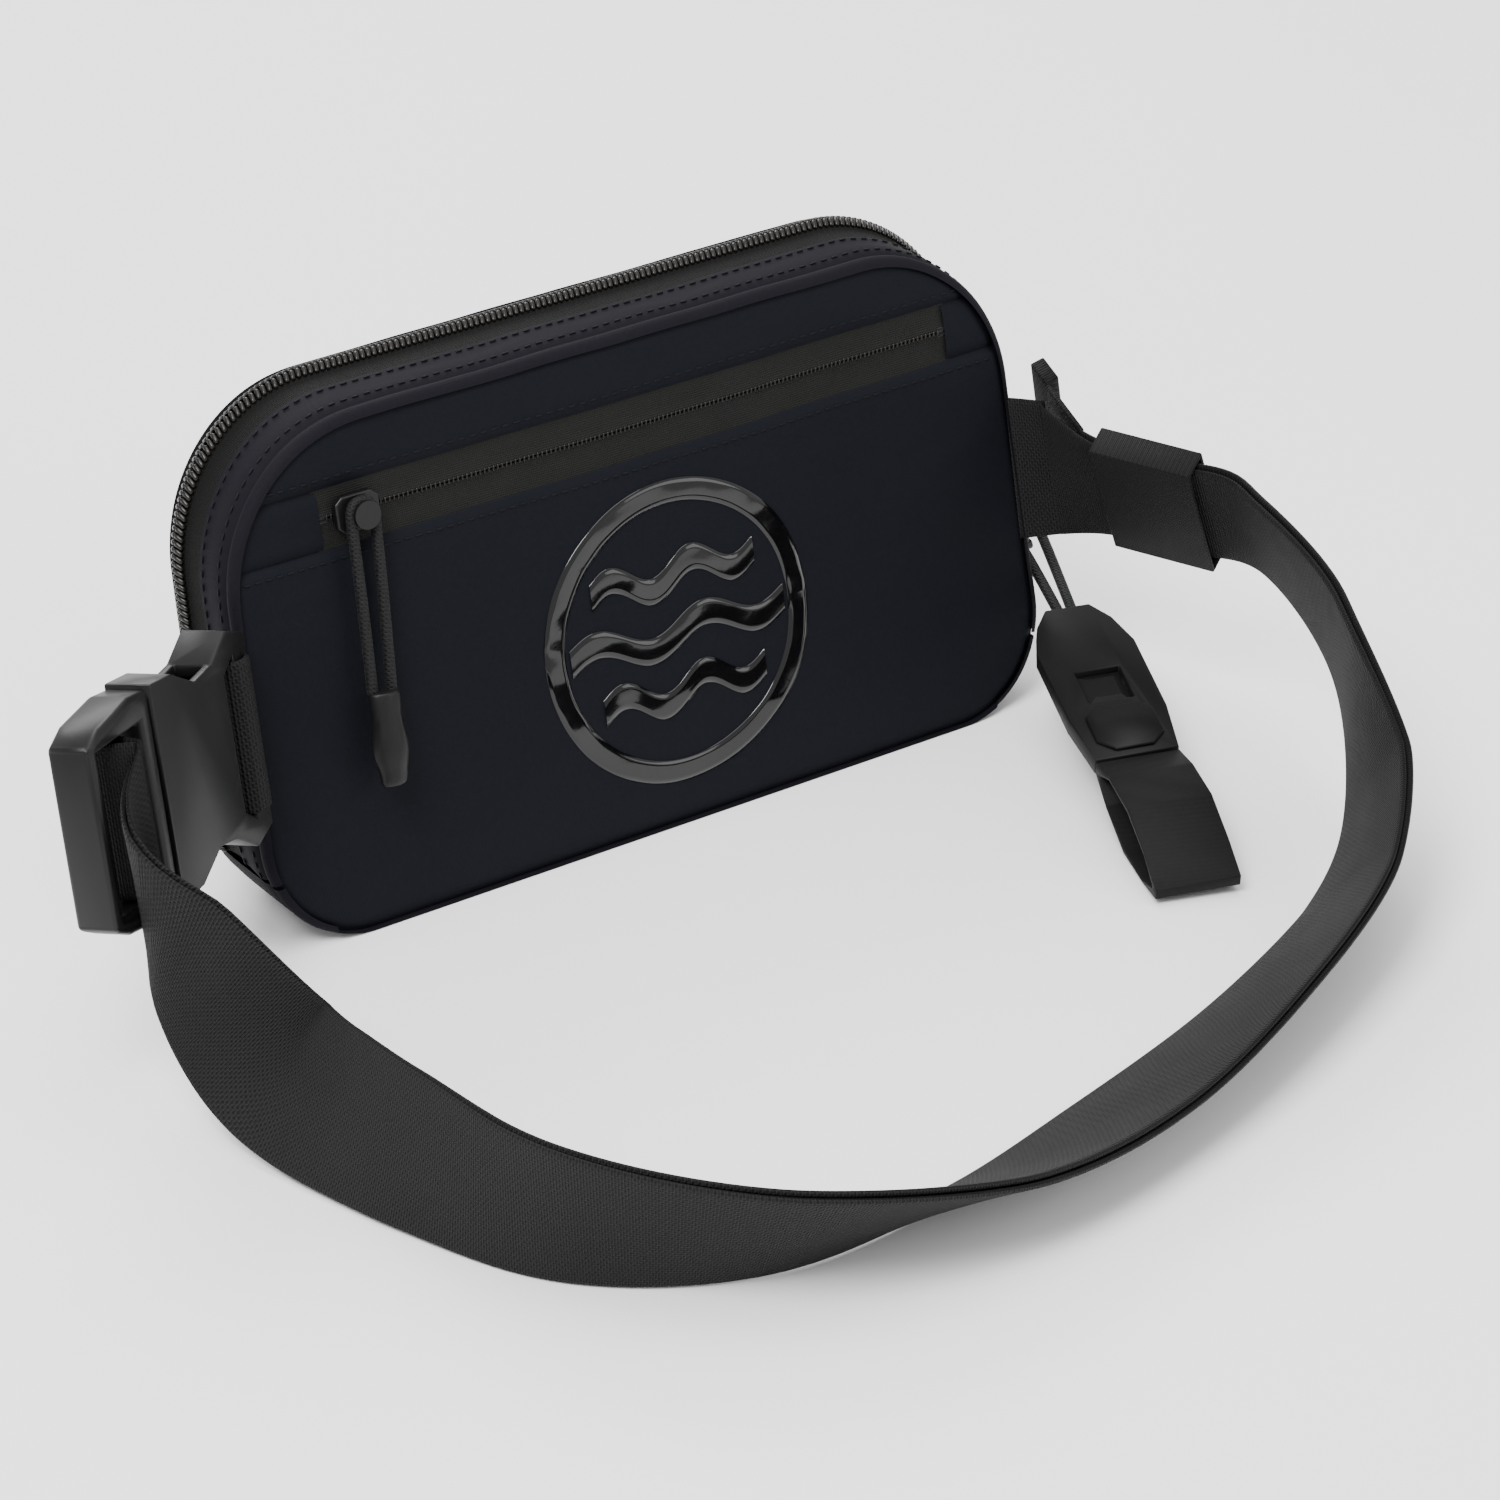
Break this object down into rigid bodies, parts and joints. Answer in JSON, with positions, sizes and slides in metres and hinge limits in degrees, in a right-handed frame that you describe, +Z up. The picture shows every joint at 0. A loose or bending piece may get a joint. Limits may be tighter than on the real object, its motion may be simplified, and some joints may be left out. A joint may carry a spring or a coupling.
{
  "type": "waist pack",
  "caption": "Soft zipped waist pack with a slanted front pocket, a doubled webbing belt with a side-release buckle, and cord zipper pulls.",
  "frame": {"origin": "on the flat bottom, centred left to right, 30 mm behind the front face's foot", "axes": "+X right as the front is seen, -Y out of the front, +Z up"},
  "size_m": [0.337, 0.2677, 0.1269],
  "materials": {
    "shell_fabric": "matte tight-woven nylon, near-black navy",
    "gusset_fabric": "matte woven nylon, purple-grey black",
    "lining_fabric": "light woven lining",
    "foam": "knit-faced foam",
    "zip_tape": "ribbed polyester zipper tape",
    "zip_coil": "nylon coil, slightly glossy",
    "zip_metal": "black painted zinc",
    "webbing": "heavy ribbed nylon webbing",
    "elastic": "knitted elastic",
    "buckle_plastic": "satin acetal, fine mould texture",
    "pull_cord": "braided cord",
    "pull_rubber": "moulded rubber",
    "pull_strap": "smooth tape folded into a loop",
    "emblem_gloss": "glossy rubberised print"
  },
  "bodies": {
    "bag_front": {"front_panel_lower": "shell_fabric", "front_panel_upper": "shell_fabric", "zip_end_left": "shell_fabric", "zip_end_right": "shell_fabric", "pocket_tape_lower": "zip_tape", "pocket_tape_upper": "zip_tape", "pocket_coil": "zip_coil", "pocket_stop_left": "zip_metal", "pocket_stop_right": "zip_metal", "pocket_lining": "lining_fabric", "front_gusset": "gusset_fabric", "gusset_lining": "lining_fabric", "main_tape_front": "zip_tape", "main_coil_front": "zip_coil", "bottom_gusset": "gusset_fabric", "emblem_rim": "emblem_gloss", "emblem_wave_1": "emblem_gloss", "emblem_wave_2": "emblem_gloss", "emblem_wave_3": "emblem_gloss", "buckle_tab": "webbing", "buckle_female": "buckle_plastic", "belt_outer_layer": "webbing", "belt_inner_layer": "webbing", "belt_anchor": "webbing", "belt_tail": "webbing", "belt_tail_hem": "webbing"},
    "back_shell": {"back_panel": "shell_fabric", "back_foam": "foam", "back_lining": "lining_fabric", "back_gusset": "gusset_fabric", "main_tape_back": "zip_tape", "main_coil_back": "zip_coil"},
    "buckle_male": {"buckle_frame": "buckle_plastic", "buckle_guide": "buckle_plastic", "buckle_bar": "buckle_plastic", "belt_roll": "webbing"},
    "prong_top": {"prong_upper": "buckle_plastic"},
    "prong_bottom": {"prong_lower": "buckle_plastic"},
    "keeper": {"belt_keeper": "elastic"},
    "pocket_zip": {"pocket_slider": "zip_metal", "pocket_bail": "zip_metal"},
    "pocket_pull": {"pocket_pull_cord": "pull_cord", "pocket_pull_knob": "pull_rubber"},
    "main_zip": {"main_slider": "zip_metal", "main_bail": "zip_metal"},
    "main_pull": {"main_pull_cord": "pull_cord", "main_pull_grip": "pull_rubber", "main_pull_patch": "pull_rubber", "main_pull_loop": "pull_strap"}
  },
  "joints": [
    {"name": "back_open", "type": "hinge", "parent": "bag_front", "child": "back_shell", "pos_m": [0, 0.0074, 0.0008], "axis": [-1, 0, 0], "range_deg": [0, 65]},
    {"name": "buckle_release", "type": "slide", "parent": "bag_front", "child": "buckle_male", "axis": [-0.8387, -0.532, 0.1165], "range_m": [0, 0.03]},
    {"name": "prong_top_squeeze", "type": "hinge", "parent": "buckle_male", "child": "prong_top", "pos_m": [-0.15632, -0.04144, 0.07826], "axis": [-0.5446, 0.8193, -0.1794], "range_deg": [0, 7], "stiffness_Nm_per_rad": 0.05},
    {"name": "prong_bottom_squeeze", "type": "hinge", "parent": "buckle_male", "child": "prong_bottom", "pos_m": [-0.15632, -0.04657, 0.05481], "axis": [-0.5446, 0.8193, -0.1794], "range_deg": [-7, 0], "stiffness_Nm_per_rad": 0.05},
    {"name": "keeper_slide", "type": "slide", "parent": "bag_front", "child": "keeper", "axis": [-0.4472, 0.8943, 0.0166], "range_m": [-0.004, 0.004]},
    {"name": "pocket_zip_slide", "type": "slide", "parent": "bag_front", "child": "pocket_zip", "axis": [1, 0, 0], "range_m": [0, 0.165]},
    {"name": "pocket_pull_swing", "type": "hinge", "parent": "pocket_zip", "child": "pocket_pull", "pos_m": [-0.0775, -0.01221, 0.10257], "axis": [0, -0.9769, 0.2139], "range_deg": [-16, 24]},
    {"name": "main_zip_slide", "type": "slide", "parent": "bag_front", "child": "main_zip", "axis": [-0.027, 0.2138, 0.9765], "range_m": [0, 0.006]},
    {"name": "main_pull_swing", "type": "hinge", "parent": "main_zip", "child": "main_pull", "pos_m": [0.12907, 0.00032, 0.03329], "axis": [0, 0, 1], "range_deg": [-4, 3]}
  ],
  "couplings": [
    {"joint": "prong_bottom_squeeze", "follows": "prong_top_squeeze", "ratio": -1}
  ]
}
